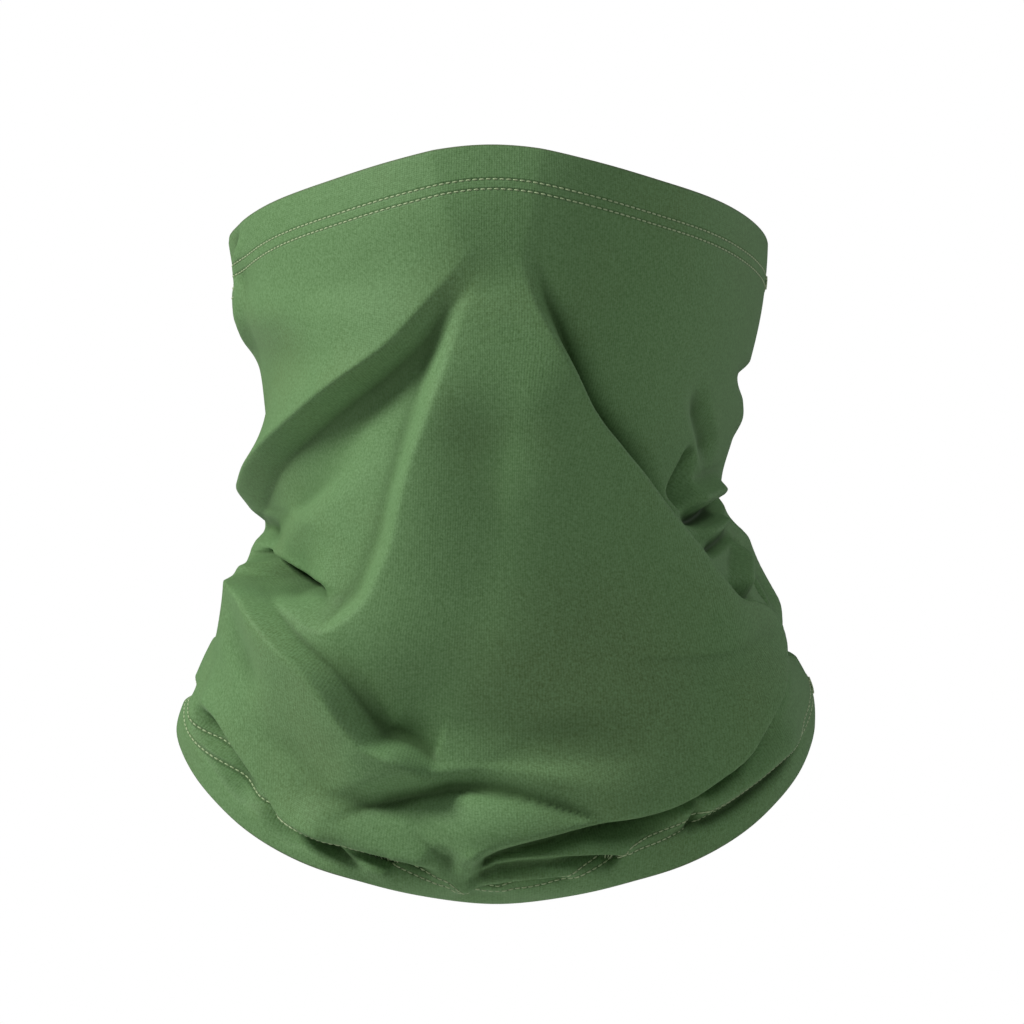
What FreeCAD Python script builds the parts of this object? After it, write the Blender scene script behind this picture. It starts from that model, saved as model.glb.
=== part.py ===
import FreeCAD, Part
import math
import os

# Neck gaiter: a knitted tube pulled over the head, worn round the neck and lower face.
# Sizes are in millimetres. The wearer faces -Y, +Z is up and +X is the wearer's left.
# The origin is the middle of the neck opening, level with the lowest point of its edge.
# "Turn" is the angle in degrees from the front centre, through the wearer's left to the back.

# Cloth and thread
CLOTH = 0.8              # thickness of the knitted jersey
THREAD = 0.35            # thickness of a sewing thread as it lies on the cloth

# Hems: turned inside once and held by a twin-needle coverstitch
HEM_DEPTH = 17.0         # folded edge to the raw edge inside
FIRST_ROW = 11.5         # folded edge to the nearer needle row
ROW_SPACING = 3.2        # between the two needle rows
LOOPER_OVERHANG = 0.4    # looper thread past each needle row
TACK_LENGTH = 5.0        # dense stitching where a hem crosses the side seam

# Side seam: both cloth edges overlocked together and pressed towards the back
SEAM_TURN = 88.0         # where the seam runs
SEAM_WIDTH = 6.0         # width of the overlocked allowance
SEAM_GAP = 1.0           # raw edge of a hem to the end of the free allowance
NEEDLE_INSET = 1.2       # edge of the allowance to a needle row
NEEDLE_WIDTH = 0.6       # width of a needle row on the allowance

# Shape of the worn tube: height, half width, reach to the front, reach to the back
OUTLINE = (
    (-14.0, 87.0, 56.0, 58.0),
    (0.0, 92.5, 68.0, 60.0),
    (12.0, 96.0, 77.0, 62.0),
    (28.0, 99.5, 84.0, 63.0),
    (57.0, 102.5, 90.0, 65.0),
    (80.0, 96.5, 93.0, 65.0),
    (108.0, 84.0, 95.0, 67.0),
    (140.0, 75.0, 96.0, 74.0),
    (167.0, 78.0, 98.0, 84.0),
    (195.0, 84.0, 100.0, 93.0),
    (220.0, 86.0, 97.0, 95.0),
    (256.0, 83.0, 88.0, 90.0),
)

# Folded edges: turn, height. Each side is a mirror of the other.
TOP_EDGE = (
    (0, 244.0),
    (8, 243.2),
    (16, 240.2),
    (25, 236.0),
    (38, 230.5),
    (53, 225.0),
    (68, 219.0),
    (90, 211.0),
    (130, 205.0),
    (180, 203.0),
)
NECK_EDGE = (
    (0, 0.0),
    (20, 4.0),
    (43, 18.0),
    (63, 33.0),
    (78, 45.0),
    (90, 56.0),
    (130, 52.0),
    (180, 46.0),
)

# How finely the shapes are drawn
ROUND_STEPS = 40         # points round a whole ring
SECTOR_STEPS = 4         # spaces across a short piece
TUBE_ROWS = 18           # spaces from the neck edge to the top edge
SEAM_ROWS = 12           # spaces along the side seam
STRIP_ROWS = 2           # spaces across a hem or a thread row
CLIMB_STEPS = 6          # steps taken when measuring along the cloth
PROBE = 0.05             # small distance used to find directions

FULL_TURN = 360.0


def outline_curve():
    """Smooth curve giving half width, front reach and back reach at a height."""
    curve = Part.BSplineCurve()
    curve.interpolate(
        Points=[FreeCAD.Vector(half, front, back) for _, half, front, back in OUTLINE],
        Parameters=[height for height, _, _, _ in OUTLINE],
    )
    return curve


def edge_curve(edge):
    """Smooth closed curve giving the height of a folded edge at a turn."""
    far_side = [(FULL_TURN - turn, height) for turn, height in reversed(edge[1:-1])]
    stations = list(edge) + far_side
    curve = Part.BSplineCurve()
    curve.interpolate(
        Points=[FreeCAD.Vector(height, turn, 0) for turn, height in stations[:1]]
        + [FreeCAD.Vector(height, 0, 0) for _, height in stations[1:]],
        Parameters=[turn for turn, _ in stations] + [FULL_TURN],
        PeriodicFlag=True,
    )
    return curve


SHAPE = outline_curve()
TOP = edge_curve(TOP_EDGE)
NECK = edge_curve(NECK_EDGE)


def surface(turn, height):
    """Point on the outer face of the tube."""
    size = SHAPE.value(height)
    angle = math.radians(turn)
    middle = (size.y + size.z) / 2
    lean = (size.y - size.z) / 2
    forward = middle * math.cos(angle) + lean * math.cos(angle) ** 2
    return FreeCAD.Vector(size.x * math.sin(angle), -forward, height)


def place(turn, height, inset):
    """Point the given distance inside the outer face, square to the cloth."""
    point = surface(turn, height)
    round_step = surface(turn + PROBE, height).sub(surface(turn - PROBE, height))
    up_step = surface(turn, height + PROBE).sub(surface(turn, height - PROBE))
    outward = round_step.cross(up_step).normalize()
    return point.sub(outward.multiply(inset))


def edge_height(curve, turn):
    """Height of a folded edge at a turn."""
    return curve.value(turn % FULL_TURN).x


def from_edge(curve, turn, distance):
    """Height at a distance from a folded edge, measured on the cloth and square to the edge.

    The distance is positive upwards and negative downwards.
    """
    height = edge_height(curve, turn)
    rise = edge_height(curve, turn + 1) - edge_height(curve, turn - 1)
    run = surface(turn + 1, height).sub(surface(turn - 1, height)).Length
    step = distance * math.hypot(1, rise / run) / CLIMB_STEPS
    for _ in range(CLIMB_STEPS):
        cloth = surface(turn, height + PROBE).sub(surface(turn, height - PROBE)).Length
        height += step * 2 * PROBE / cloth
    return height


def line_at(curve, distance):
    """Height function of a line running a fixed distance from a folded edge."""
    return lambda turn: from_edge(curve, turn, distance)


def across(low, high, rows):
    """Height functions evenly spaced from one line to another, both included."""
    return [
        lambda turn, share=row / rows: low(turn) + (high(turn) - low(turn)) * share
        for row in range(rows + 1)
    ]


def draw(line, inset, turns):
    """Smooth wire along a height line. A whole turn gives a closed ring."""
    closed = turns[1] - turns[0] == FULL_TURN
    steps = ROUND_STEPS if closed else SECTOR_STEPS
    count = steps if closed else steps + 1
    stations = [turns[0] + (turns[1] - turns[0]) * i / steps for i in range(count)]
    curve = Part.BSplineCurve()
    curve.interpolate(
        Points=[place(turn, line(turn), inset) for turn in stations],
        PeriodicFlag=closed,
    )
    return Part.Wire([curve.toShape()])


def band(low, high, outside, inside, rows=STRIP_ROWS, turns=(SEAM_TURN, SEAM_TURN + FULL_TURN)):
    """Solid band of cloth or thread between two height lines.

    The outside and inside faces are given as insets from the outer face of the tube.
    """
    lines = across(low, high, rows)
    outer = Part.makeLoft([draw(line, outside, turns) for line in lines], False, False).Faces[0]
    inner = Part.makeLoft([draw(line, inside, turns) for line in lines], False, False).Faces[0]
    faces = [outer, inner]
    rims = [edge for edge in outer.Edges if edge.isClosed()] or outer.Edges
    for rim in rims:
        partner = min(inner.Edges, key=lambda edge: edge.CenterOfMass.sub(rim.CenterOfMass).Length)
        faces.append(Part.makeRuledSurface(rim, partner))
    shell = Part.makeShell(faces)
    shell.sewShape()
    solid = Part.makeSolid(shell.Shells[0])
    if solid.Volume < 0:
        solid.reverse()
    return solid


def sector(width, height, start=0.0):
    """Turns covered by a piece of this width beside the seam at a height."""
    per_degree = surface(SEAM_TURN + 1, height).sub(surface(SEAM_TURN, height)).Length
    return SEAM_TURN + start / per_degree, SEAM_TURN + (start + width) / per_degree


def hem_pieces(name, curve, inward):
    """Every piece of one hem. Inward is -1 for the top hem and 1 for the neck hem."""
    def line(distance):
        return line_at(curve, inward * distance)

    def strip(near, far, outside, inside, **more):
        low, high = sorted((near, far), key=lambda distance: inward * distance)
        return band(line(low), line(high), outside, inside, **more)

    second_row = FIRST_ROW + ROW_SPACING
    half = THREAD / 2
    middle_height = from_edge(curve, SEAM_TURN, inward * second_row)
    tack = sector(TACK_LENGTH, middle_height, start=-TACK_LENGTH / 2)
    return {
        name + "_hem_turnback": strip(0, HEM_DEPTH, CLOTH, 2 * CLOTH),
        name + "_hem_needle_thread_first_row": strip(
            FIRST_ROW - half, FIRST_ROW + half, -THREAD, 0),
        name + "_hem_needle_thread_second_row": strip(
            second_row - half, second_row + half, -THREAD, 0),
        name + "_hem_looper_thread": strip(
            FIRST_ROW - LOOPER_OVERHANG, second_row + LOOPER_OVERHANG,
            2 * CLOTH, 2 * CLOTH + THREAD),
        name + "_hem_closing_tack": strip(
            FIRST_ROW - half, second_row + half, -2 * THREAD, -THREAD, turns=tack),
    }


def seam_pieces():
    """Every piece of the side seam, between the raw edges of the two hems."""
    low = line_at(NECK, HEM_DEPTH + SEAM_GAP)
    high = line_at(TOP, -HEM_DEPTH - SEAM_GAP)
    middle_height = (low(SEAM_TURN) + high(SEAM_TURN)) / 2

    def ply(outside, inside, start=0.0, width=SEAM_WIDTH):
        turns = sector(width, middle_height, start)
        return band(low, high, outside, inside, rows=SEAM_ROWS, turns=turns)

    allowance = CLOTH + THREAD
    upper_looper = allowance + 2 * CLOTH
    needle = upper_looper + THREAD
    outer_row = SEAM_WIDTH - NEEDLE_INSET - NEEDLE_WIDTH
    return {
        "side_seam_lower_looper_thread": ply(CLOTH, allowance),
        "side_seam_allowance": ply(allowance, upper_looper),
        "side_seam_upper_looper_thread": ply(upper_looper, needle),
        "side_seam_needle_thread_inner": ply(
            needle, needle + THREAD, start=NEEDLE_INSET, width=NEEDLE_WIDTH),
        "side_seam_needle_thread_outer": ply(
            needle, needle + THREAD, start=outer_row, width=NEEDLE_WIDTH),
    }


def export(name, shape):
    """Write one sub-part and stop if it is not one sound solid."""
    if not shape.isValid() or len(shape.Solids) != 1 or shape.Volume <= 0:
        raise ValueError(name + " is not one sound solid")
    shape.exportStep("parts/" + name + ".step")
    box = shape.optimalBoundingBox(True, False)
    print("%-36s %7.1f x %6.1f x %6.1f mm, z %6.1f to %6.1f, %8.3f cm3"
          % (name, box.XLength, box.YLength, box.ZLength, box.ZMin, box.ZMax, shape.Volume / 1000))


def main():
    """Build and write every sub-part."""
    os.makedirs("parts", exist_ok=True)
    pieces = {
        "tube_fabric": band(line_at(NECK, 0), line_at(TOP, 0), 0, CLOTH, rows=TUBE_ROWS),
    }
    pieces.update(hem_pieces("top", TOP, -1))
    pieces.update(hem_pieces("neck", NECK, 1))
    pieces.update(seam_pieces())
    for name, shape in pieces.items():
        export(name, shape)


main()
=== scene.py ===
"""A knitted neck gaiter: the gathered cloth tube, its two stitched hems and its side seam."""

import logging
import math
from dataclasses import dataclass
from enum import Enum
from typing import Callable

import bpy
import numpy as np
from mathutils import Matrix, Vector


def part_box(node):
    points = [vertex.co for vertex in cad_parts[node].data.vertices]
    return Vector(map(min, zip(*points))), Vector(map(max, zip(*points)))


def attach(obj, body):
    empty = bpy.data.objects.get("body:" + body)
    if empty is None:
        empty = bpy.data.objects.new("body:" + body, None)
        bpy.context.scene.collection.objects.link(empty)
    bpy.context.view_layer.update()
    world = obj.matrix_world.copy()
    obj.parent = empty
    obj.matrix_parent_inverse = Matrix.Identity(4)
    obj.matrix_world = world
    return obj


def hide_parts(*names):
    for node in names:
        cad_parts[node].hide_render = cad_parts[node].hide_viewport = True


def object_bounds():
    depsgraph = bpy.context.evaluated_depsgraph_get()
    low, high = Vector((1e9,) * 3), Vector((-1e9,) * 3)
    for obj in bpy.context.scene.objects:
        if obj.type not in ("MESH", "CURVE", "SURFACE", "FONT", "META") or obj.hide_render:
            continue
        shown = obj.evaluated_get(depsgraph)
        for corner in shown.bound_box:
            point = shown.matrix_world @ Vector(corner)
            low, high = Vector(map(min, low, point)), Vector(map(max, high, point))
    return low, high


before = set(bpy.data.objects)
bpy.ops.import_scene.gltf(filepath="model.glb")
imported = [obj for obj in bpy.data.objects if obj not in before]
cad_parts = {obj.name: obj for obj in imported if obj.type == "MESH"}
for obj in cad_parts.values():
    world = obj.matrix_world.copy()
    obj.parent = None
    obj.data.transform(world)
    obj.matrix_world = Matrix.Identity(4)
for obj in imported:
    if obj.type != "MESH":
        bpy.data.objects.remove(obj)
cad_low, cad_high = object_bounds()

LOG = logging.getLogger("neck_gaiter")
MM = 0.001
BODY = "root"
FULL_TURN = 360.0

Array = np.ndarray
Colour = tuple[float, float, float, float]
HeightLine = Callable[[Array], Array]
Run = tuple[Array, Array]


# ---------------------------------------------------------------------------------------
# Shader building
# ---------------------------------------------------------------------------------------

class Recipe:
    """The node tree of one finish."""

    def __init__(self, name: str) -> None:
        """Start an empty material.

        Args:
            name: the material's name.
        """
        self.material = bpy.data.materials.new(name)
        self.material.use_nodes = True
        self.tree = self.material.node_tree
        self.tree.nodes.clear()

    def add(
        self,
        kind: str,
        settings: dict[str, object] | None = None,
        inputs: dict[int | str, object] | None = None,
        output: int | str = 0,
    ) -> "Signal":
        """Add one node.

        Args:
            kind: the node's type name.
            settings: properties set before the sockets.
            inputs: socket index or name to a plain value or a Signal.
            output: the output socket that is wanted.

        Returns:
            The wanted output as a Signal.
        """
        node = self.tree.nodes.new(kind)
        for key, value in (settings or {}).items():
            setattr(node, key, value)
        for key, value in (inputs or {}).items():
            if isinstance(value, Signal):
                self.tree.links.new(value.socket, node.inputs[key])
            else:
                node.inputs[key].default_value = value
        return Signal(self, node.outputs[output]) if node.outputs else Signal(self, None)

    def noise(
        self, place: "Signal", scale: float, detail: float, roughness: float = 0.5
    ) -> "Signal":
        """Add soft random blotches.

        Args:
            place: where on the piece.
            scale: blotches per metre.
            detail: how many finer layers are added.
            roughness: how strong the finer layers are.

        Returns:
            A value of about 0.5 that wanders up and down.
        """
        sockets = {"Vector": place, "Scale": scale, "Detail": detail, "Roughness": roughness}
        return self.add("ShaderNodeTexNoise", inputs=sockets)

    def ramp(
        self, value: "Signal", start: float, end: float, low: float = 0.0, high: float = 1.0,
        smooth: bool = False,
    ) -> "Signal":
        """Map one range of a value onto another and hold it beyond both ends.

        Args:
            value: the value.
            start: where the range starts.
            end: where the range ends.
            low: the result at the start.
            high: the result at the end.
            smooth: whether the result eases in and out.

        Returns:
            The mapped value.
        """
        return self.add(
            "ShaderNodeMapRange",
            {"clamp": True, "interpolation_type": "SMOOTHSTEP" if smooth else "LINEAR"},
            {"Value": value, "From Min": start, "From Max": end, "To Min": low, "To Max": high})

    def bump(self, height: "Signal", strength: float, distance: float) -> "Signal":
        """Turn a height into a tilted normal.

        Args:
            height: the height.
            strength: how much of the tilt is used.
            distance: the length in metres that a height of 1 stands for.

        Returns:
            The normal.
        """
        sockets = {"Strength": strength, "Distance": distance, "Height": height}
        return self.add("ShaderNodeBump", inputs=sockets)

    def finish(self, shader: "Signal") -> bpy.types.Material:
        """Join the shader to the output and hand back the material.

        Args:
            shader: the surface shader.

        Returns:
            The finished material.
        """
        self.add("ShaderNodeOutputMaterial", inputs={"Surface": shader})
        return self.material


@dataclass(frozen=True)
class Signal:
    """One output socket, usable in sums and products."""

    recipe: Recipe
    socket: bpy.types.NodeSocket | None

    def _math(self, operation: str, first: object, second: object) -> "Signal":
        """One Math node on two values."""
        return self.recipe.add("ShaderNodeMath", {"operation": operation}, {0: first, 1: second})

    def __add__(self, other: object) -> "Signal":
        """Sum."""
        return self._math("ADD", self, other)

    def __radd__(self, other: object) -> "Signal":
        """Sum, reflected."""
        return self._math("ADD", other, self)

    def __sub__(self, other: object) -> "Signal":
        """Difference."""
        return self._math("SUBTRACT", self, other)

    def __rsub__(self, other: object) -> "Signal":
        """Difference, reflected."""
        return self._math("SUBTRACT", other, self)

    def __mul__(self, other: object) -> "Signal":
        """Product."""
        return self._math("MULTIPLY", self, other)

    def __rmul__(self, other: object) -> "Signal":
        """Product, reflected."""
        return self._math("MULTIPLY", other, self)

    def smaller(self, other: object) -> "Signal":
        """Smaller of two values."""
        return self._math("MINIMUM", self, other)

    def size(self) -> "Signal":
        """Value without its sign."""
        return self.recipe.add("ShaderNodeMath", {"operation": "ABSOLUTE"}, {0: self})

    def other(self, output: str) -> "Signal":
        """Another output of the same node."""
        return Signal(self.recipe, self.socket.node.outputs[output])

    def wave(self) -> "Signal":
        """Sine, moved to run from 0 to 1."""
        return self.recipe.add("ShaderNodeMath", {"operation": "SINE"}, {0: self}) * 0.5 + 0.5


def mixed(recipe: Recipe, factor: object, first: object, second: object) -> Signal:
    """Blend two colours.

    Args:
        recipe: the finish being built.
        factor: 0 gives the first colour and 1 the second.
        first: a colour or Signal.
        second: a colour or Signal.

    Returns:
        The blended colour.
    """
    return recipe.add(
        "ShaderNodeMix", {"data_type": "RGBA"}, {0: factor, 6: first, 7: second}, output=2)


@dataclass(frozen=True)
class JerseyFinish:
    """Smooth polyester jersey, fine wales running up the tube. Lengths are in metres.

    A scale is in blotches per metre, and a strength runs from 0 to 1.
    """

    colour: Colour = (0.098, 0.200, 0.070, 1.0)
    shade: Colour = (0.104, 0.168, 0.056, 1.0)
    pale: Colour = (0.185, 0.330, 0.150, 1.0)
    # Painted shade: the dark green that creases and hollows are blended towards.
    deep: Colour = (0.034, 0.076, 0.020, 1.0)
    warm: Colour = (0.095, 0.140, 0.050, 1.0)
    # Painted shade: a thin dark brown line along each folded edge, where the cloth turns away.
    rim: Colour = (0.075, 0.060, 0.045, 1.0)
    row_shadow: Colour = (0.030, 0.060, 0.022, 1.0)
    sheen_tint: Colour = (0.80, 0.95, 0.75, 1.0)
    warm_at: tuple[float, float, float] = (0.034, -0.096, 0.068)
    warm_reach: tuple[float, float] = (0.028, 0.072)
    warm_strength: float = 0.75
    warm_blur: float = 0.03
    shade_strength: float = 0.65
    edge_shade_strength: float = 0.8
    edge_shade_width: float = 0.9 * MM
    row_shadow_strength: float = 0.45
    row_reach: tuple[float, float] = (0.1 * MM, 0.75 * MM)
    row_depth: float = 2.5
    valley_shade_strength: float = 0.75
    speckle_strength: float = 0.80
    knit_strength: float = 0.28
    wale_pitch: float = 0.75 * MM
    course_pitch: float = 0.62 * MM
    wale_wander: float = 5.0
    course_wander: float = 7.0
    wander_scale: float = 90.0
    yarn_scale: float = 1250.0
    cloud_scale: float = 22.0
    roughness: float = 0.62
    gloss: float = 0.16
    sheen: float = 0.06
    sheen_roughness: float = 0.45
    bump_strength: float = 0.65
    bump_distance: float = 0.12 * MM
    panel_length: float = 0.29
    rows: tuple[float, ...] = (11.5 * MM, 14.7 * MM)

    def material(self, name: str) -> bpy.types.Material:
        """Build the jersey.

        Args:
            name: the material's name.

        Returns:
            The material.
        """
        recipe = Recipe(name)
        place = recipe.add("ShaderNodeTexCoord", output="Object")
        across = self._map(recipe, "cut")
        along = across.other("Y")
        edge = along.smaller(self.panel_length - along)
        knit = self._knit(recipe, place, across, along)
        yarn = recipe.noise(place, self.yarn_scale, detail=3.0, roughness=0.6)
        speckle = recipe.ramp(yarn, 0.30, 0.70)
        sunk = self._row_sink_and_shadow(recipe, edge)
        base = mixed(
            recipe, speckle * self.speckle_strength + knit * self.knit_strength,
            self._ground(recipe, place), self.pale)
        # Painted shade: the cloth darkens to dark brown in a thin line at each folded edge.
        painted_edge_shade = recipe.ramp(edge, 0.0, self.edge_shade_width, self.edge_shade_strength, 0.0)
        base = mixed(recipe, painted_edge_shade, base, self.rim)
        # Painted shadow: a dark line along each stitch row; the same mask also sinks the bump.
        base = mixed(recipe, sunk * self.row_shadow_strength, base, self.row_shadow)
        # Painted shade: creases and hollows of the drape are blended towards a dark green.
        valley = self._map(recipe, "valley")
        base = mixed(recipe, valley * self.valley_shade_strength, base, self.deep)
        height = knit * 0.55 + speckle * 0.45 - sunk * self.row_depth
        rough = recipe.ramp(speckle, 0.0, 1.0, self.roughness - 0.06, self.roughness + 0.08)
        shader = recipe.add("ShaderNodeBsdfPrincipled", inputs={
            "Base Color": base,
            "Roughness": rough,
            "Normal": recipe.bump(height, self.bump_strength, self.bump_distance),
            "Specular IOR Level": self.gloss,
            "Sheen Weight": self.sheen,
            "Sheen Roughness": self.sheen_roughness,
            "Sheen Tint": self.sheen_tint,
        })
        return recipe.finish(shader)

    @staticmethod
    def _map(recipe: Recipe, layer: str) -> Signal:
        """First coordinate of one of the cloth's UV layers; its "Y" is the second."""
        place = recipe.add("ShaderNodeUVMap", {"uv_map": layer})
        return recipe.add("ShaderNodeSeparateXYZ", inputs={0: place})

    def _knit(self, recipe: Recipe, place: Signal, across: Signal, along: Signal) -> Signal:
        """Wales up the panel and courses across it, both a little uneven.

        Args:
            recipe: the finish being built.
            place: where on the piece.
            across: distance across the flat panel.
            along: distance along the flat panel.

        Returns:
            A value from 0 to 1.
        """
        wander = recipe.noise(place, self.wander_scale, detail=2.0)
        turn = 2 * math.pi
        wales = (across * (turn / self.wale_pitch) + wander * self.wale_wander).wave()
        courses = (along * (turn / self.course_pitch) + wander * self.course_wander).wave()
        return wales * 0.6 + courses * 0.4

    def _ground(self, recipe: Recipe, place: Signal) -> Signal:
        """Colour of the dyed cloth with slow blotches, and a darker, warmer patch placed low at
        the front.

        Args:
            recipe: the finish being built.
            place: where on the piece.

        Returns:
            The colour.
        """
        cloud = recipe.noise(place, self.cloud_scale, detail=3.0, roughness=0.55)
        patch = recipe.ramp(cloud, 0.50, 0.72, 0.0, self.shade_strength)
        ground = mixed(recipe, patch, self.colour, self.shade)
        apart = recipe.add(
            "ShaderNodeVectorMath", {"operation": "DISTANCE"}, {0: place, 1: self.warm_at},
            output="Value")
        warmth = recipe.ramp(
            apart + cloud * self.warm_blur, *self.warm_reach, self.warm_strength, 0.0, smooth=True)
        return mixed(recipe, warmth, ground, self.warm)

    def _row_sink_and_shadow(self, recipe: Recipe, edge: Signal) -> Signal:
        """How far the stitching pulls the cloth in beside each row, which also sets the painted
        shadow along it.

        Args:
            recipe: the finish being built.
            edge: distance from the nearer folded edge.

        Returns:
            1 along each row and 0 away from them.
        """
        near, far = (
            recipe.ramp((edge - row).size(), *self.row_reach, 1.0, 0.0, smooth=True)
            for row in self.rows)
        return near + far


@dataclass(frozen=True)
class ThreadFinish:
    """Spun sewing thread, a little paler than the cloth. A scale is in blotches per metre."""

    colour: Colour = (0.50, 0.62, 0.36, 1.0)
    dark: Colour = (0.27, 0.38, 0.18, 1.0)
    ply_scale: float = 2600.0
    lot_scale: float = 300.0
    roughness: float = 0.5
    gloss: float = 0.4
    sheen: float = 0.1
    bump_strength: float = 0.4
    bump_distance: float = 0.08 * MM

    def material(self, name: str) -> bpy.types.Material:
        """Build the thread.

        Args:
            name: the material's name.

        Returns:
            The material.
        """
        recipe = Recipe(name)
        place = recipe.add("ShaderNodeTexCoord", output="Object")
        ply = recipe.noise(place, self.ply_scale, detail=1.0)
        lot = recipe.noise(place, self.lot_scale, detail=1.0)
        shader = recipe.add("ShaderNodeBsdfPrincipled", inputs={
            "Base Color": mixed(recipe, ply * 0.5 + lot * 0.4, self.colour, self.dark),
            "Roughness": lot * 0.2 + (self.roughness - 0.1),
            "Normal": recipe.bump(ply, self.bump_strength, self.bump_distance),
            "Specular IOR Level": self.gloss,
            "Sheen Weight": self.sheen,
        })
        return recipe.finish(shader)


@dataclass(frozen=True)
class FloorFinish:
    """Plain pale studio floor."""

    colour: Colour = (0.78, 0.78, 0.78, 1.0)
    dark: Colour = (0.72, 0.72, 0.72, 1.0)
    grain_scale: float = 60.0
    roughness: float = 0.85

    def material(self, name: str) -> bpy.types.Material:
        """Build the floor's finish.

        Args:
            name: the material's name.

        Returns:
            The material.
        """
        recipe = Recipe(name)
        place = recipe.add("ShaderNodeTexCoord", output="Object")
        grain = recipe.noise(place, self.grain_scale, detail=2.0)
        base = mixed(recipe, grain * 0.2, self.colour, self.dark)
        shader = recipe.add(
            "ShaderNodeBsdfPrincipled", inputs={"Base Color": base, "Roughness": self.roughness})
        return recipe.finish(shader)


# ---------------------------------------------------------------------------------------
# The worn shape
# ---------------------------------------------------------------------------------------

class SmoothCurve:
    """Cubic curve through stations, straight beyond its ends or closed on itself."""

    def __init__(self, stations: list[float], values: list[float], period: float = 0.0) -> None:
        """Work out the curve's bends.

        Args:
            stations: rising positions.
            values: the value at each position.
            period: length of one round, or 0 for an open curve.
        """
        self.period = period
        x = np.array(stations + ([stations[0] + period] if period else []), float)
        y = np.array(values + ([values[0]] if period else []), float)
        self.x, self.y = x, y
        count = len(x)
        matrix = np.zeros((count, count))
        right = np.zeros(count)
        gaps = np.diff(x)
        slopes = np.diff(y) / gaps
        for i in range(1, count - 1):
            matrix[i, i - 1:i + 2] = gaps[i - 1], 2 * (gaps[i - 1] + gaps[i]), gaps[i]
            right[i] = 6 * (slopes[i] - slopes[i - 1])
        if period:
            matrix[0, 0], matrix[0, -1] = 1.0, -1.0
            matrix[-1, [0, 1, -2, -1]] = 2 * gaps[0], gaps[0], gaps[-1], 2 * gaps[-1]
            right[-1] = 6 * (slopes[0] - slopes[-1])
        else:
            matrix[0, 0] = matrix[-1, -1] = 1.0
        self.bends = np.linalg.solve(matrix, right)

    def __call__(self, at: Array) -> Array:
        """Value of the curve.

        Args:
            at: positions.

        Returns:
            The value at each position.
        """
        x, y, bend = self.x, self.y, self.bends
        at = np.asarray(at, float)
        if self.period:
            at = x[0] + np.mod(at - x[0], self.period)
        i = np.clip(np.searchsorted(x, at, side="right") - 1, 0, len(x) - 2)
        gap = x[i + 1] - x[i]
        near, far = (x[i + 1] - at) / gap, (at - x[i]) / gap
        cubic = (near ** 3 - near) * bend[i] + (far ** 3 - far) * bend[i + 1]
        return near * y[i] + far * y[i + 1] + cubic * gap ** 2 / 6


@dataclass(frozen=True)
class WornShape:
    """The tube as it is filled out, before its folds. Sizes are in millimetres.

    A turn is in degrees from the front centre, positive towards the wearer's left.
    """

    levels: tuple[float, ...] = (
        -14, 0, 4, 9, 16, 28, 45, 57, 70, 84, 97, 108, 120, 134, 148, 162, 178, 187, 197, 213,
        228, 256)
    right_hand: tuple[float, ...] = (
        80, 90, 93, 95, 97, 99.5, 101.5, 102.3, 97.5, 91, 83, 79, 77.5, 75, 73.5, 74.5, 78.5,
        83.5, 84, 86, 86, 83)
    left_hand: tuple[float, ...] = (
        80, 90, 93, 95, 97, 99.5, 101, 102, 100.5, 93, 87, 81, 75.5, 72, 75.5, 78.5, 82.5, 84.5,
        86, 87, 86.5, 83)
    front: tuple[float, ...] = (
        40, 62, 72, 78.5, 81.5, 85, 88.5, 90, 92, 93.5, 94.5, 95, 95.5, 96, 96, 97.5, 98.5, 99,
        99, 98, 96, 88)
    back: tuple[float, ...] = (
        57, 60, 60.5, 61, 62, 63, 64, 65, 65, 65, 66, 67, 69, 72, 76, 82, 88, 90.5, 92.5, 94,
        95, 90)
    top_turns: tuple[float, ...] = (0, 8, 16, 25, 38, 53, 68, 90, 130, 180)
    top_heights: tuple[float, ...] = (241.2, 240.3, 238, 235, 230.3, 225, 219, 211, 205, 203)
    neck_turns: tuple[float, ...] = (0, 12, 20, 28, 37, 46, 56, 63, 78, 90, 130, 180)
    neck_heights: tuple[float, ...] = (0, 1.8, 4.2, 7.4, 11.4, 17, 25, 31.5, 45, 56, 52, 46)

    def curves(self) -> dict[str, SmoothCurve]:
        """Make the smooth curves of the tube.

        Returns:
            Every size against height, and the height of both edges against turn.
        """
        def closed(turns: tuple[float, ...], heights: tuple[float, ...]) -> SmoothCurve:
            """Carry an edge all the way round, each side a mirror of the other.

            Args:
                turns: turns from the front centre to the back.
                heights: the edge's height at each.

            Returns:
                The closed curve.
            """
            around = list(turns) + [FULL_TURN - turn for turn in reversed(turns[1:-1])]
            level = list(heights) + list(reversed(heights[1:-1]))
            return SmoothCurve(around, level, FULL_TURN)

        levels = list(self.levels)
        return {
            "right_hand": SmoothCurve(levels, list(self.right_hand)),
            "left_hand": SmoothCurve(levels, list(self.left_hand)),
            "front": SmoothCurve(levels, list(self.front)),
            "back": SmoothCurve(levels, list(self.back)),
            "top": closed(self.top_turns, self.top_heights),
            "neck": closed(self.neck_turns, self.neck_heights),
        }


class Side(Enum):
    """A side of a crest, as seen by someone going along it on the outside of the tube."""

    LEFT = -1
    RIGHT = 1


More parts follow.
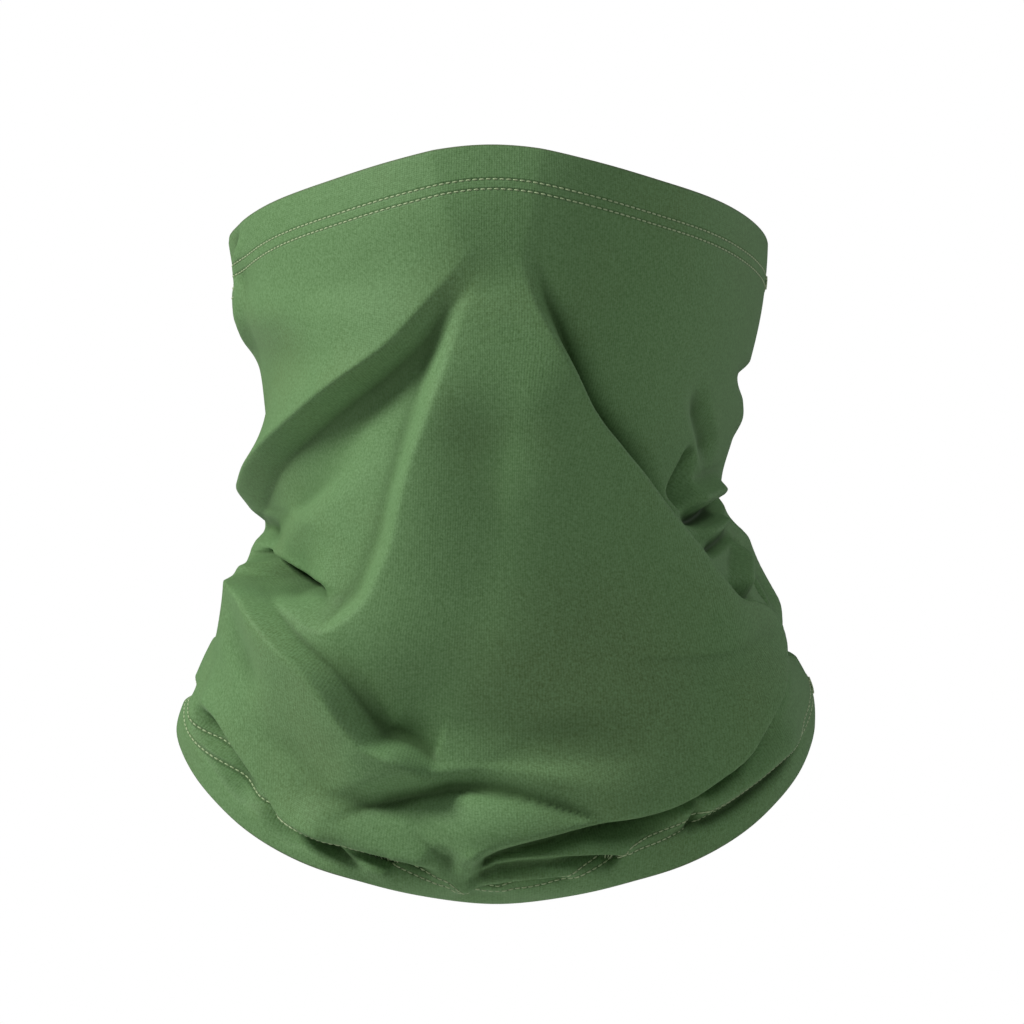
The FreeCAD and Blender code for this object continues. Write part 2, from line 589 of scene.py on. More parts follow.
@dataclass(frozen=True)
class Fold:
    """One fold, drawn along its crest in (turn, height). Sizes are in millimetres.

    Its left and right are how far it reaches on each side of its path. Reaches, groove depths
    and leans are spread evenly along the path. The fold fades in over the shares of the path
    called start and end. A groove runs beside the crest on the steep side, deepest at
    groove_at and gone at groove_tail times that. The lean carries the crest over the groove,
    and takes cloth along as far as pull on the other side.
    """

    name: str
    path: tuple[tuple[float, float], ...]
    lift: float
    left: tuple[float, ...]
    right: tuple[float, ...]
    crisp: float = 0.2
    groove: tuple[float, ...] = (0.0,)
    groove_at: float = 4.0
    groove_tail: float = 2.6
    steep: Side = Side.LEFT
    lean: tuple[float, ...] = (0.0,)
    pull: float = 14.0
    start: float = 0.3
    end: float = 0.3


class Drape:
    """The outer face of the worn cloth: the filled-out tube with its folds.

    Sizes are in millimetres, and side_change says how fast one side's half width becomes the
    other's at the front and back.
    """

    mean_radius: float = 88.0
    edge_round: float = 0.75
    probe: float = 0.15
    wide_probe: float = 0.5
    calm_edge: float = 7.0
    side_change: float = 4.0
    blunt: float = 0.6
    cusp: float = 1.3

    def __init__(self, shape: WornShape, folds: tuple[Fold, ...], scale: float) -> None:
        """Prepare the drape.

        Args:
            shape: the filled-out tube.
            folds: every fold laid on it.
            scale: model size over the drawn size, normally 1.
        """
        self.curves = shape.curves()
        self.folds = folds
        self.scale = scale * MM

    @property
    def turn_per_mm(self) -> float:
        """Degrees round the tube that a millimetre of cloth takes up, on average."""
        return 1 / (math.radians(1) * self.mean_radius)

    def skin(self, turn: Array, height: Array) -> Array:
        """Points of the filled-out tube, in millimetres.

        Args:
            turn: degrees from the front centre.
            height: height of each point.

        Returns:
            An array of points.
        """
        angle = np.radians(turn)
        sine, cosine = np.sin(angle), np.cos(angle)
        to_left = 0.5 + 0.5 * np.tanh(sine * self.side_change)
        half = (
            self.curves["left_hand"](height) * to_left
            + self.curves["right_hand"](height) * (1 - to_left)
        )
        front, back = self.curves["front"](height), self.curves["back"](height)
        forward = (front + back) / 2 * cosine + (front - back) / 2 * cosine ** 2
        return np.stack([half * sine, -forward, height + 0 * sine], axis=-1)

    def axes(self, turn: Array, height: Array) -> tuple[Array, Array, Array]:
        """Directions round, up and out of the filled-out tube.

        Args:
            turn: degrees from the front centre.
            height: height of each point.

        Returns:
            Three arrays of unit vectors.
        """
        step = self.probe
        around = self.skin(turn + step, height) - self.skin(turn - step, height)
        upward = self.skin(turn, height + step) - self.skin(turn, height - step)
        around /= np.linalg.norm(around, axis=-1, keepdims=True)
        upward /= np.linalg.norm(upward, axis=-1, keepdims=True)
        outward = np.cross(around, upward)
        outward /= np.linalg.norm(outward, axis=-1, keepdims=True)
        return around, upward, outward

    def relief(self, turn: Array, height: Array) -> tuple[Array, Array, Array]:
        """How far the folds push each point out, round and up, in millimetres.

        Args:
            turn: degrees from the front centre.
            height: height of each point.

        Returns:
            Three arrays of distances.
        """
        shape = turn.shape
        turn, height = turn.ravel(), np.broadcast_to(height, shape).ravel()
        out, around, up = (np.zeros(turn.size) for _ in range(3))
        for fold in self.folds:
            self._lay(fold, turn, height, out, around, up)
        clear = np.clip((height - self.curves["neck"](turn)) / self.calm_edge, 0, 1)
        calm = clear * clear * (3 - 2 * clear)
        return tuple((total * calm).reshape(shape) for total in (out, around, up))

    def _lay(
        self, fold: Fold, turn: Array, height: Array, out: Array, around: Array, up: Array
    ) -> None:
        """Add one fold to the running totals.

        Args:
            fold: the fold to lay.
            turn: degrees from the front centre.
            height: height of each point.
            out: outward total, changed in place.
            around: total round the tube, changed in place.
            up: upward total, changed in place.
        """
        per_degree = math.radians(1) * self.mean_radius
        path = self._smooth_path(fold.path)
        middle = (path[:, 0].min() + path[:, 0].max()) / 2
        offset = np.mod(turn - middle + FULL_TURN / 2, FULL_TURN) - FULL_TURN / 2 + middle
        line = path * [per_degree, 1.0]
        if any(fold.lean):
            heading = np.gradient(line, axis=0)
            heading /= np.linalg.norm(heading, axis=1, keepdims=True)
            beside = self._beside(heading, fold.steep)
            share = np.linspace(0, 1, len(line))
            pulled = self._along(fold.lean, share) * self._fade(fold, share)
            line = line - beside * pulled[:, None]
        widest = max(*fold.left, *fold.right, fold.groove_tail * fold.groove_at)
        low, high = line.min(axis=0) - widest, line.max(axis=0) + widest
        spot = np.stack([offset * per_degree, height], axis=-1)
        near = np.flatnonzero(((spot > low) & (spot < high)).all(axis=1))
        if not near.size:
            return
        point = spot[near]
        tail, leg = line[:-1], np.diff(line, axis=0)
        length = np.linalg.norm(leg, axis=1)
        best = np.full(near.size, np.inf)
        side = np.zeros(near.size)
        along = np.zeros(near.size)
        heading = np.zeros((near.size, 2))
        begun = np.concatenate([[0.0], np.cumsum(length)])
        for i in range(len(leg)):
            near_leg = np.flatnonzero(
                np.abs(point - tail[i] - leg[i] / 2).max(axis=1) < widest + length[i] / 2)
            away = point[near_leg] - tail[i]
            share = np.clip(away @ leg[i] / length[i] ** 2, 0, 1)
            gap = away - share[:, None] * leg[i]
            distance = np.hypot(gap[:, 0], gap[:, 1])
            closer = distance < best[near_leg]
            cross = leg[i, 1] * away[:, 0] - leg[i, 0] * away[:, 1]
            chosen = near_leg[closer]
            best[chosen] = distance[closer]
            side[chosen] = np.sign(cross[closer])
            along[chosen] = (begun[i] + share[closer] * length[i]) / begun[-1]
            heading[chosen] = leg[i] / length[i]
        found = np.isfinite(best)
        near, best, side = near[found], best[found], side[found]
        along, heading = along[found], heading[found]
        self._shape_fold(fold, near, best, side, along, heading, (out, around, up))

    @staticmethod
    def _beside(heading: Array, side: Side) -> Array:
        """Directions at right angles to a path, towards one side."""
        return np.stack([heading[:, 1], -heading[:, 0]], axis=-1) * side.value

    @staticmethod
    def _along(values: tuple[float, ...], along: Array) -> Array:
        """Value part of the way along a crest, from evenly spaced values."""
        return np.interp(along, np.linspace(0, 1, len(values)), values)

    @staticmethod
    def _fade(fold: Fold, along: Array) -> Array:
        """Strength of a fold along its crest.

        Args:
            fold: the fold.
            along: share of the path, from 0 to 1.

        Returns:
            0 at the ends, rising smoothly to 1.
        """
        strength = np.ones_like(along)
        for share, reach in ((along, fold.start), (1 - along, fold.end)):
            step = np.clip(share / max(reach, 1e-6), 0, 1)
            strength = strength * step * step * (3 - 2 * step)
        return strength

    @staticmethod
    def _shape_fold(
        fold: Fold, near: Array, best: Array, side: Array, along: Array, heading: Array,
        totals: tuple[Array, Array, Array],
    ) -> None:
        """Turn distances from a crest into cloth movement.

        Args:
            fold: the fold being laid.
            near: indices of the points it reaches.
            best: distance of each from the crest.
            side: 1 on the right of the path and -1 on the left.
            along: share of the path, from 0 to 1.
            heading: direction of the path beside each point.
            totals: outward, round and upward totals, changed in place.
        """
        fade = Drape._fade(fold, along)
        steep = side == fold.steep.value
        span = np.sqrt(best ** 2 + Drape.blunt ** 2) - Drape.blunt
        reach = np.where(
            side > 0, Drape._along(fold.right, along), Drape._along(fold.left, along))
        rise = fold.lift * Drape._bell(span / reach, fold.crisp) * fade
        if any(fold.groove):
            far = best / fold.groove_at
            rising = np.clip((fold.groove_tail - far) / (fold.groove_tail - 1), 0, 1) ** 2
            dip = np.where(far < 1, far ** Drape.cusp, rising)
            deep = Drape._along(fold.groove, along) * dip * fade
            rise -= np.where(steep, deep, 0)
        out, around, up = totals
        out[near] += rise
        if any(fold.lean):
            short = np.minimum(reach, np.where(steep, reach, fold.pull))
            push = Drape._along(fold.lean, along) * Drape._bell(span / short, fold.crisp) * fade
            beside = Drape._beside(heading, fold.steep)
            around[near] += push * beside[:, 0]
            up[near] += push * beside[:, 1]

    @staticmethod
    def _bell(distance: Array, crisp: float) -> Array:
        """Height of a fold across its crest.

        Args:
            distance: distance from the crest, 1 being the fold's foot.
            crisp: 0 for a round crest and 1 for a sharp one.

        Returns:
            1 at the crest, falling to 0 at the foot.
        """
        t = np.clip(distance, 0, 1)
        return (1 - t) ** 2 * (1 + 2 * (1 - crisp) * t)

    @staticmethod
    def _smooth_path(path: tuple[tuple[float, float], ...], per_leg: int = 6) -> Array:
        """Rounded line through a few points.

        Args:
            path: the points.
            per_leg: steps between two points.

        Returns:
            The finer line.
        """
        points = np.array(path, float)
        ends = np.vstack([2 * points[0] - points[1], points, 2 * points[-1] - points[-2]])
        fine = []
        for i in range(1, len(ends) - 2):
            a, b, c, d = ends[i - 1:i + 3]
            for t in np.arange(per_leg) / per_leg:
                fine.append(0.5 * (
                    2 * b + (c - a) * t + (2 * a - 5 * b + 4 * c - d) * t ** 2
                    + (3 * b - a - 3 * c + d) * t ** 3))
        fine.append(points[-1])
        return np.array(fine)

    def place(self, turn: Array, height: Array, inset: Array | float = 0.0) -> Array:
        """Points of the cloth, in metres.

        Args:
            turn: degrees from the front centre.
            height: height of each point before the folds.
            inset: distance inside the outer face, in millimetres.

        Returns:
            An array of points.
        """
        turn, height = np.broadcast_arrays(np.asarray(turn, float), np.asarray(height, float))
        point = self.skin(turn, height)
        around, upward, outward = self.axes(turn, height)
        out, sideways, lifted = self.relief(turn, height)
        point = point + outward * out[..., None] + around * sideways[..., None]
        point = (point + upward * lifted[..., None]) * self.scale
        inset = np.broadcast_to(inset, turn.shape)
        sunk = inset != 0
        if sunk.any():
            normal = self.outward(turn[sunk], height[sunk])
            point[sunk] -= normal * inset[sunk][:, None] * self.scale
        return point

    def outward(self, turn: Array, height: Array) -> Array:
        """Direction out of the folded cloth at each point.

        Args:
            turn: degrees from the front centre.
            height: height of each point before the folds.

        Returns:
            An array of unit vectors.
        """
        step = self.wide_probe
        around = self.place(turn + step, height) - self.place(turn - step, height)
        upward = self.place(turn, height + step) - self.place(turn, height - step)
        normal = np.cross(around, upward)
        return normal / np.linalg.norm(normal, axis=-1, keepdims=True)

    def line(self, edge: str, distance: float) -> HeightLine:
        """Height line running a fixed distance from one folded edge.

        Args:
            edge: "top" or "neck".
            distance: millimetres from the edge, measured on the cloth.

        Returns:
            A function of turn.
        """
        curve = self.curves[edge]
        sign = -1.0 if edge == "top" else 1.0

        def height(turn: Array) -> Array:
            """Climb from the edge to the line.

            Args:
                turn: degrees from the front centre.

            Returns:
                Height of the line at each turn.
            """
            level = curve(turn)
            rise = curve(turn + 1) - curve(turn - 1)
            run = np.linalg.norm(self.skin(turn + 1, level) - self.skin(turn - 1, level), axis=-1)
            steps = 4
            stride = sign * distance * np.hypot(1, rise / run) / steps
            for _ in range(steps):
                step = self.probe
                climb = self.skin(turn, level + step) - self.skin(turn, level - step)
                level = level + stride * 2 * step / np.linalg.norm(climb, axis=-1)
            return level

        return height


# ---------------------------------------------------------------------------------------
# Mesh making
# ---------------------------------------------------------------------------------------

def valley_shade(points: Array, closed: bool) -> Array:
    """How deep each point of a sheet lies in a valley, from 0 to 1.

    A point is compared with two smoothed copies of the sheet. The nearer copy finds creases
    and the broader one finds the hollows between folds.

    Args:
        points: rows by columns by three, in metres.
        closed: whether the last column joins the first.

    Returns:
        Rows by columns.
    """
    crease_rounds, hollow_rounds = 16, 90
    crease_depth, hollow_depth = 1.0 * MM, 3.0 * MM
    share = 0.6

    def spread(values: Array, times: int) -> Array:
        """Smooth a grid by averaging neighbours.

        Args:
            values: the grid.
            times: how often.

        Returns:
            The smoothed grid.
        """
        for _ in range(times):
            wide = np.pad(values, ((0, 0), (1, 1), (0, 0)), mode="wrap" if closed else "edge")
            values = (wide[:, :-2] + 2 * wide[:, 1:-1] + wide[:, 2:]) / 4
            tall = np.pad(values, ((1, 1), (0, 0), (0, 0)), mode="reflect", reflect_type="odd")
            values = (tall[:-2] + 2 * tall[1:-1] + tall[2:]) / 4
        return values

    wide = np.pad(points, ((0, 0), (1, 1), (0, 0)), mode="wrap" if closed else "edge")
    normal = np.cross(wide[:, 2:] - wide[:, :-2], np.gradient(points, axis=0))
    normal /= np.linalg.norm(normal, axis=-1, keepdims=True)
    crease = ((spread(points, crease_rounds) - points) * normal).sum(-1) / crease_depth
    hollow = ((spread(points, hollow_rounds) - points) * normal).sum(-1) / hollow_depth
    return np.clip(share * np.clip(crease, 0, 1) + share * np.clip(hollow, 0, 1), 0, 1)


def flat_grid(across: Array, along: Array) -> Array:
    """Flat places of a grid, from those of its columns and its rows."""
    return np.stack(np.broadcast_arrays(across[None, :], along[:, None]), axis=-1)


def thicken(piece: bpy.types.Object, thickness: float, offset: float = -1.0) -> None:
    """Give a sheet its thickness.

    Args:
        piece: the sheet.
        thickness: the thickness in metres.
        offset: -1 to thicken behind the faces, 0 to thicken on both sides.
    """
    solid = piece.modifiers.new("thickness", "SOLIDIFY")
    solid.thickness = thickness
    solid.offset = offset


def smooth_piece(name: str, mesh: bpy.types.Mesh) -> bpy.types.Object:
    """Make an object with smooth shading from a mesh.

    Args:
        name: the piece's name.
        mesh: its mesh.

    Returns:
        The new object.
    """
    mesh.polygons.foreach_set("use_smooth", [True] * len(mesh.polygons))
    mesh.update()
    piece = bpy.data.objects.new(name, mesh)
    bpy.context.collection.objects.link(piece)
    return piece


def grid_piece(
    name: str, points: Array, flat: Array, closed: bool, outward: bool = True
) -> bpy.types.Object:
    """Make a sheet from a grid of points.

    Args:
        name: the piece's name.
        points: rows by columns by three, in metres.
        flat: the same grid laid flat, rows by columns plus one by two, in metres.
        closed: whether the last column joins the first.
        outward: whether the faces look out of the tube.

    Returns:
        The new object.
    """
    rows, columns = points.shape[:2]
    row, column = np.meshgrid(
        np.arange(rows - 1), np.arange(columns if closed else columns - 1), indexing="ij")
    following = (column + 1) % columns
    corners = np.stack([
        row * columns + column, row * columns + following,
        (row + 1) * columns + following, (row + 1) * columns + column], axis=-1).reshape(-1, 4)
    places = np.stack([
        np.stack([row, column], -1), np.stack([row, column + 1], -1),
        np.stack([row + 1, column + 1], -1), np.stack([row + 1, column], -1)], axis=2)
    places = places.reshape(-1, 4, 2)
    if not outward:
        corners, places = corners[:, ::-1], places[:, ::-1]
    mesh = bpy.data.meshes.new(name)
    mesh.from_pydata(points.reshape(-1, 3).tolist(), [], corners.tolist())
    layer = mesh.uv_layers.new(name="cut")
    coordinates = flat[places[..., 0], places[..., 1]].reshape(-1, 2)
    layer.data.foreach_set("uv", coordinates.ravel())
    # The valley layer holds how much painted shade the jersey lays into each crease and hollow.
    shade = valley_shade(points, closed)[places[..., 0], places[..., 1] % columns].ravel()
    layer = mesh.uv_layers.new(name="valley")
    layer.data.foreach_set("uv", np.stack([shade, np.zeros_like(shade)], -1).ravel())
    return smooth_piece(name, mesh)


def strand_piece(name: str, runs: list[Run], radius: float) -> bpy.types.Object:
    """Make rounded thread along centre lines.

    Args:
        name: the piece's name.
        runs: for each strand its centre points and the cloth's outward directions.
        radius: the thread's radius in metres.

    Returns:
        The new object.
    """
    sides = 6
    end_swell = 0.35
    ring = np.arange(sides) * 2 * math.pi / sides
    vertices: list[Array] = []
    faces: list[list[int]] = []
    start = 0
    for line, outward in runs:
        heading = np.gradient(line, axis=0)
        heading /= np.linalg.norm(heading, axis=1, keepdims=True)
        beside = np.cross(heading, outward)
        beside /= np.linalg.norm(beside, axis=1, keepdims=True)
        above = np.cross(beside, heading)
        swell = np.ones(len(line))
        swell[[0, -1]] = end_swell
        loops = line[:, None, :] + radius * swell[:, None, None] * (
            np.cos(ring)[None, :, None] * beside[:, None, :]
            + np.sin(ring)[None, :, None] * above[:, None, :])
        vertices.append(loops.reshape(-1, 3))
        for i in range(len(line) - 1):
            for j in range(sides):
                k = (j + 1) % sides
                base = start + i * sides
                faces.append([base + j, base + k, base + sides + k, base + sides + j])
        faces.append([start + j for j in reversed(range(sides))])
        last = start + (len(line) - 1) * sides
        faces.append([last + j for j in range(sides)])
        start += len(line) * sides
    mesh = bpy.data.meshes.new(name)
    mesh.from_pydata(np.vstack(vertices).tolist(), [], faces)
    return smooth_piece(name, mesh)


def dress(piece: bpy.types.Object, material: bpy.types.Material, node: str) -> None:
    """Give a piece its finish and its body, and hide the CAD node it stands for.

    Args:
        piece: the piece.
        material: its finish.
        node: the CAD node it replaces.
    """
    piece.data.materials.append(material)
    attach(piece, BODY)
    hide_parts(node)
    LOG.info("%s: %d faces, stands for %s", piece.name, len(piece.data.polygons), node)


# ---------------------------------------------------------------------------------------
# The gaiter
# ---------------------------------------------------------------------------------------

FOLDS: tuple[Fold, ...] = (
    # Face: flat over the nose, then the ridges that fan out from its tip
    Fold("nose, right hand side", ((-14, 262), (-13, 236), (-10, 218), (-6, 204), (-2, 190)), 4.0,
         (34, 34), (60, 60), crisp=0.6, start=0.05, end=0.5),
    Fold("nose, left hand side", ((11, 262), (9, 236), (7, 218), (5, 204), (3, 190)), 2.0,
         (50, 50), (34, 34), crisp=0.6, start=0.05, end=0.5),
    Fold("cheek ridge", ((-2, 213), (-7, 205), (-12, 196), (-23, 180), (-46, 161), (-66, 147),
         (-80, 137), (-90, 131), (-100, 128), (-112, 126)), 9.0, (8, 14, 26, 10), (14, 30, 24, 12),
         crisp=0.8, groove=(4, 5, 5, 3), groove_at=7, groove_tail=5, lean=(1.0,), start=0.38,
         end=0.2),
    Fold("hollow below the cheek ridge", ((-100, 121), (-80, 124), (-60, 130), (-42, 141),
         (-30, 154)), -4.5, (16, 16), (12, 12), end=0.5),
    Fold("slope above the side pocket", ((-90, 113), (-72, 111), (-55, 107), (-40, 102)), -7.5,
         (18, 16), (5, 5), end=0.35),
    Fold("right hand edge of the chin panel", ((-1, 209), (-8, 183), (-16, 153), (-20, 133),
         (-22, 116), (-24.5, 105), (-27.5, 93), (-35, 85), (-45, 90.5), (-56, 99), (-69, 107),
         (-82, 112), (-100, 115)), 8.0, (20, 40, 24), (8, 13, 10), crisp=0.5, end=0.2),
    Fold("left hand edge of the chin panel", ((3, 209), (6, 199), (9, 188), (18, 164), (23, 154),
         (29, 145.5), (36.5, 136), (42, 126), (46, 118), (49.5, 110), (52, 102), (55, 95.5),
         (60, 94), (65, 92), (67, 87), (65.5, 81), (62, 75), (58.5, 68), (55, 62), (52, 56),
         (48, 47.5), (41.5, 40.5), (35.5, 35), (28.5, 31), (16.5, 27), (4.2, 22.5), (-2, 19.5),
         (-8.7, 13.4)), 8.0, (6, 6), (30, 48, 44, 40, 14), crisp=0.3, groove=(5, 5, 6, 6, 7, 7),
         groove_at=6.0, groove_tail=2.5, lean=(3, 3, 2, 2, 3.5, 3.5), start=0.16, end=0.03),
    # Right hand side, below the cheek ridge
    Fold("roof of the side pocket", ((-92, 117), (-80, 115), (-68, 111), (-55, 106.5), (-45, 103),
         (-35, 98.5)), 1.5, (10, 10), (5, 5), crisp=0.3, groove=(7.0,), groove_at=5.0,
         steep=Side.RIGHT, lean=(3.5,), end=0.25),
    Fold("side pocket", ((-76, 110), (-64, 106), (-53, 100), (-43, 95.5)), -11.0, (7, 7), (8, 8),
         end=0.5),
    Fold("lobe crest", ((-84, 103), (-70, 98), (-51, 88.5), (-37, 76.5), (-30, 67), (-24.5, 55),
         (-22, 50.5), (-17, 47.5), (-12, 43), (-8, 39)), 11.0, (10, 15, 8), (30, 28, 12),
         crisp=0.8, groove=(4.5,), groove_at=6, groove_tail=3.4, lean=(3,), end=0.14),
    Fold("hollow of the lobe", ((-64, 92), (-50, 74), (-44, 62)), -3.0, (8, 8), (9, 9), start=0.4,
         end=0.5),
    Fold("lip over the right hand hem", ((-74, 68), (-60, 59), (-53.5, 49.5), (-47.5, 38),
         (-42, 28), (-36, 24), (-27, 16), (-20, 9)), 2.0, (20, 14), (8, 6), crisp=0.3,
         groove=(11, 10, 7), groove_at=5, groove_tail=2.4, steep=Side.RIGHT, lean=(1.5,),
         start=0.12, end=0.25),
    Fold("recess beside that lip", ((-74, 62), (-63, 50), (-55, 39), (-48, 30)), -10.0, (5, 5),
         (6, 6), end=0.4),
    Fold("tongue by the hem", ((-36, 24), (-27, 15), (-20, 8.5)), 3.0, (4.5, 4.5), (7, 7),
         crisp=0.4, groove=(3.0,), groove_at=5.0, lean=(1.0,), start=0.4, end=0.12),
    # Below the chin
    Fold("under the chin", ((-38, 36), (-28, 38.5), (-20, 40.5), (-8, 43), (0, 43.5), (8, 42.5),
         (20, 39.5), (28, 36)), 1.5, (14, 14), (10, 10), crisp=0.3, groove=(7.0,), groove_at=9.0,
         groove_tail=2.2, steep=Side.RIGHT, lean=(1.0,), start=0.35, end=0.25),
    Fold("slope under the chin", ((-34, 48), (-16, 47), (4, 47), (24, 49), (40, 54)), -4.5,
         (40, 40), (14, 14), end=0.4),
    Fold("roll below the chin", ((-40, 27), (-22, 30.5), (-4, 32), (12, 31), (24, 28)), 2.0,
         (6, 6), (9, 9)),
    Fold("left neck crease", ((-47, 32), (-35, 25), (-24, 18), (-9, 12.5)), 4.0, (10, 10), (4, 4),
         groove=(3.0,), groove_at=5.0, steep=Side.RIGHT, lean=(2.0,), start=0.4, end=0.15),
    Fold("second neck crease", ((-10, 12), (4, 15.5), (14, 17), (22, 17.5), (27, 16)), 4.5, (8, 8),
         (3.5, 3.5), groove=(4.0,), groove_at=4.5, steep=Side.RIGHT, lean=(2.2,), start=0.2,
         end=0.12),
    Fold("third neck crease", ((-10, 5.5), (0, 8), (8, 9.5), (18, 11.5)), 3.5, (6, 6), (3.2, 3.2),
         groove=(3.5,), groove_at=4.0, steep=Side.RIGHT, lean=(2.0,), start=0.2),
    Fold("lowest neck crease", ((-10, 4.5), (-3, 4), (4, 4.5)), 2.0, (4, 4), (2, 2), groove=(2.5,),
         groove_at=3.0, steep=Side.RIGHT, lean=(1.0,)),
    # Left hand side, behind the chin panel
    Fold("pocket by the panel", ((58, 147), (56, 138), (51, 127)), -12.0, (5, 5), (6, 6),
         start=0.5, end=0.2),
    Fold("rolled fold", ((53, 127), (60, 129), (68, 131), (80, 134)), 6.0, (7, 7), (6, 6),
         crisp=0.3, start=0.25, end=0.35),
    Fold("streak above the rolled fold", ((51, 167), (60, 152), (70, 139)), -3.5, (7, 7), (7, 7),
         start=0.4),
    Fold("notch below the ear", ((66, 172), (84, 168), (100, 166), (120, 162)), -3.2, (6, 6),
         (6, 6), start=0.5),
    Fold("fold below the ear", ((70, 160), (85, 157), (104, 154), (124, 151)), 2.0, (8, 8), (8, 8),
         start=0.5),
    Fold("crease under the rolled fold", ((50, 123), (62, 123.5), (78, 128), (104, 134)), -6.0,
         (3.5, 3.5), (3.5, 3.5), start=0.2),
    Fold("band behind the panel", ((55, 117), (66, 118.5), (80, 122)), 4.0, (5, 5), (5, 5)),
    Fold("crease across the band", ((56, 112), (67, 116), (82, 121)), -5.0, (3, 3), (3, 3),
         end=0.4),
    Fold("ridge behind the panel", ((76, 118), (76, 110), (70, 104), (63, 97)), 5.0, (6, 6),
         (5, 5), crisp=0.3, lean=(1.5,)),
    Fold("hollow behind the panel", ((84, 118), (84, 107), (80, 96)), -14.0, (6.5, 6.5), (6, 6),
         start=0.35),
    Fold("outer left fold", ((86, 122), (95, 114), (99, 104), (97, 94), (90, 87)), 4.0, (8, 8),
         (7, 7), crisp=0.3),
    Fold("notch above the hem lobe", ((72, 84), (84, 83), (100, 85), (118, 88)), -5.0, (4, 4),
         (4.5, 4.5), crisp=0.3),
    Fold("tube above the left hand hem", ((28, 27), (41, 34), (51, 42), (62, 51), (76, 58)), 2.5,
         (8, 8), (8, 8)),
    Fold("crease across that tube", ((41, 35), (40, 29), (39, 22)), -3.5, (3, 3), (3, 3), end=0.4),
    Fold("lip over the left hand hem", ((76, 60), (70, 55.5), (62, 48.5), (54, 41.5), (46, 35),
         (37, 29.5), (28, 25)), 3.0, (7, 7), (8, 8), crisp=0.5, groove=(4.5,), groove_at=6.0,
         groove_tail=2.0),
    # Corners of the top edge
    Fold("right hand top corner", ((-68, 214), (-77, 203), (-76, 193), (-80, 183), (-90, 172)),
         2.2, (7, 7), (16, 16), crisp=0.5, groove=(3.0,), groove_at=5.0, steep=Side.RIGHT,
         start=0.25),
    Fold("lobe behind that corner", ((-100, 206), (-104, 190), (-100, 176)), 3.0, (9, 9), (9, 9),
         start=0.4, end=0.4),
    Fold("small right notch", ((-76, 121), (-90, 121), (-108, 122)), -3.0, (4.5, 4.5), (4.5, 4.5)),
    Fold("lower right notch", ((-80, 87), (-92, 88), (-108, 90)), -2.0, (3, 3), (3, 3)),
    Fold("lowest right notch", ((-78, 68), (-92, 69), (-108, 71)), -2.6, (4, 4), (3.5, 3.5)),
    # Nape: the spare length gathers across the back
    Fold("upper nape fold", ((118, 172), (150, 160), (180, 156), (212, 161), (240, 172)), 6.0,
         (13, 13), (9, 9), crisp=0.4, groove=(2.0,), groove_at=7),
    Fold("middle nape fold", ((108, 146), (140, 136), (176, 130), (214, 137), (248, 148)), 7.0,
         (12, 12), (8, 8), crisp=0.4, groove=(3.0,), groove_at=6, lean=(1.5,), start=0.25,
         end=0.25),
    Fold("lower nape fold", ((112, 118), (146, 108), (184, 103), (220, 110), (250, 120)), 6.5,
         (12, 12), (8, 8), crisp=0.4, groove=(2.5,), groove_at=6, lean=(1.2,), start=0.25,
         end=0.25),
    Fold("lowest nape fold", ((110, 92), (142, 84), (178, 80), (216, 84), (248, 92)), 5.0,
         (10, 10), (8, 8), crisp=0.4, groove=(2.0,), groove_at=5),
    Fold("slanting nape fold", ((128, 188), (152, 150), (170, 118), (190, 92)), 2.5, (12, 12),
         (10, 10), start=0.4, end=0.4),
    Fold("second slanting nape fold", ((236, 186), (214, 150), (200, 124)), 2.2, (10, 10),
         (12, 12), start=0.4, end=0.4),
)


class Edge(Enum):
    """The tube's two folded edges."""

    TOP = "top"
    NECK = "neck"


@dataclass(frozen=True)
class ClothCut:
    """The cut panel and how finely its cloth is drawn. Sizes are in millimetres."""

    girth: float = 520.0
    length: float = 290.0
    thickness: float = 0.7
    hem_depth: float = 17.0
    seam_turn: float = 88.0
    fold_depths: tuple[float, ...] = (0.0, 0.12, 0.35)
    columns: int = 600
    middle_rows: int = 230

    def turns(self) -> Array:
        """Turn of each column, from the side seam round."""
        return self.seam_turn + np.arange(self.columns) * FULL_TURN / self.columns

    def across(self) -> Array:
        """Flat position of each column, with the closing one, in metres."""
        return np.arange(self.columns + 1) * self.girth * MM / self.columns

    def depths(self, radius: float, rows: int) -> list[float]:
        """Distances of a hem's rows from its folded edge, close together at the fold.

        Args:
            radius: where the even rows begin.
            rows: how many even rows there are.

        Returns:
            The distances.
        """
        return list(self.fold_depths) + np.linspace(radius, self.hem_depth, rows).tolist()


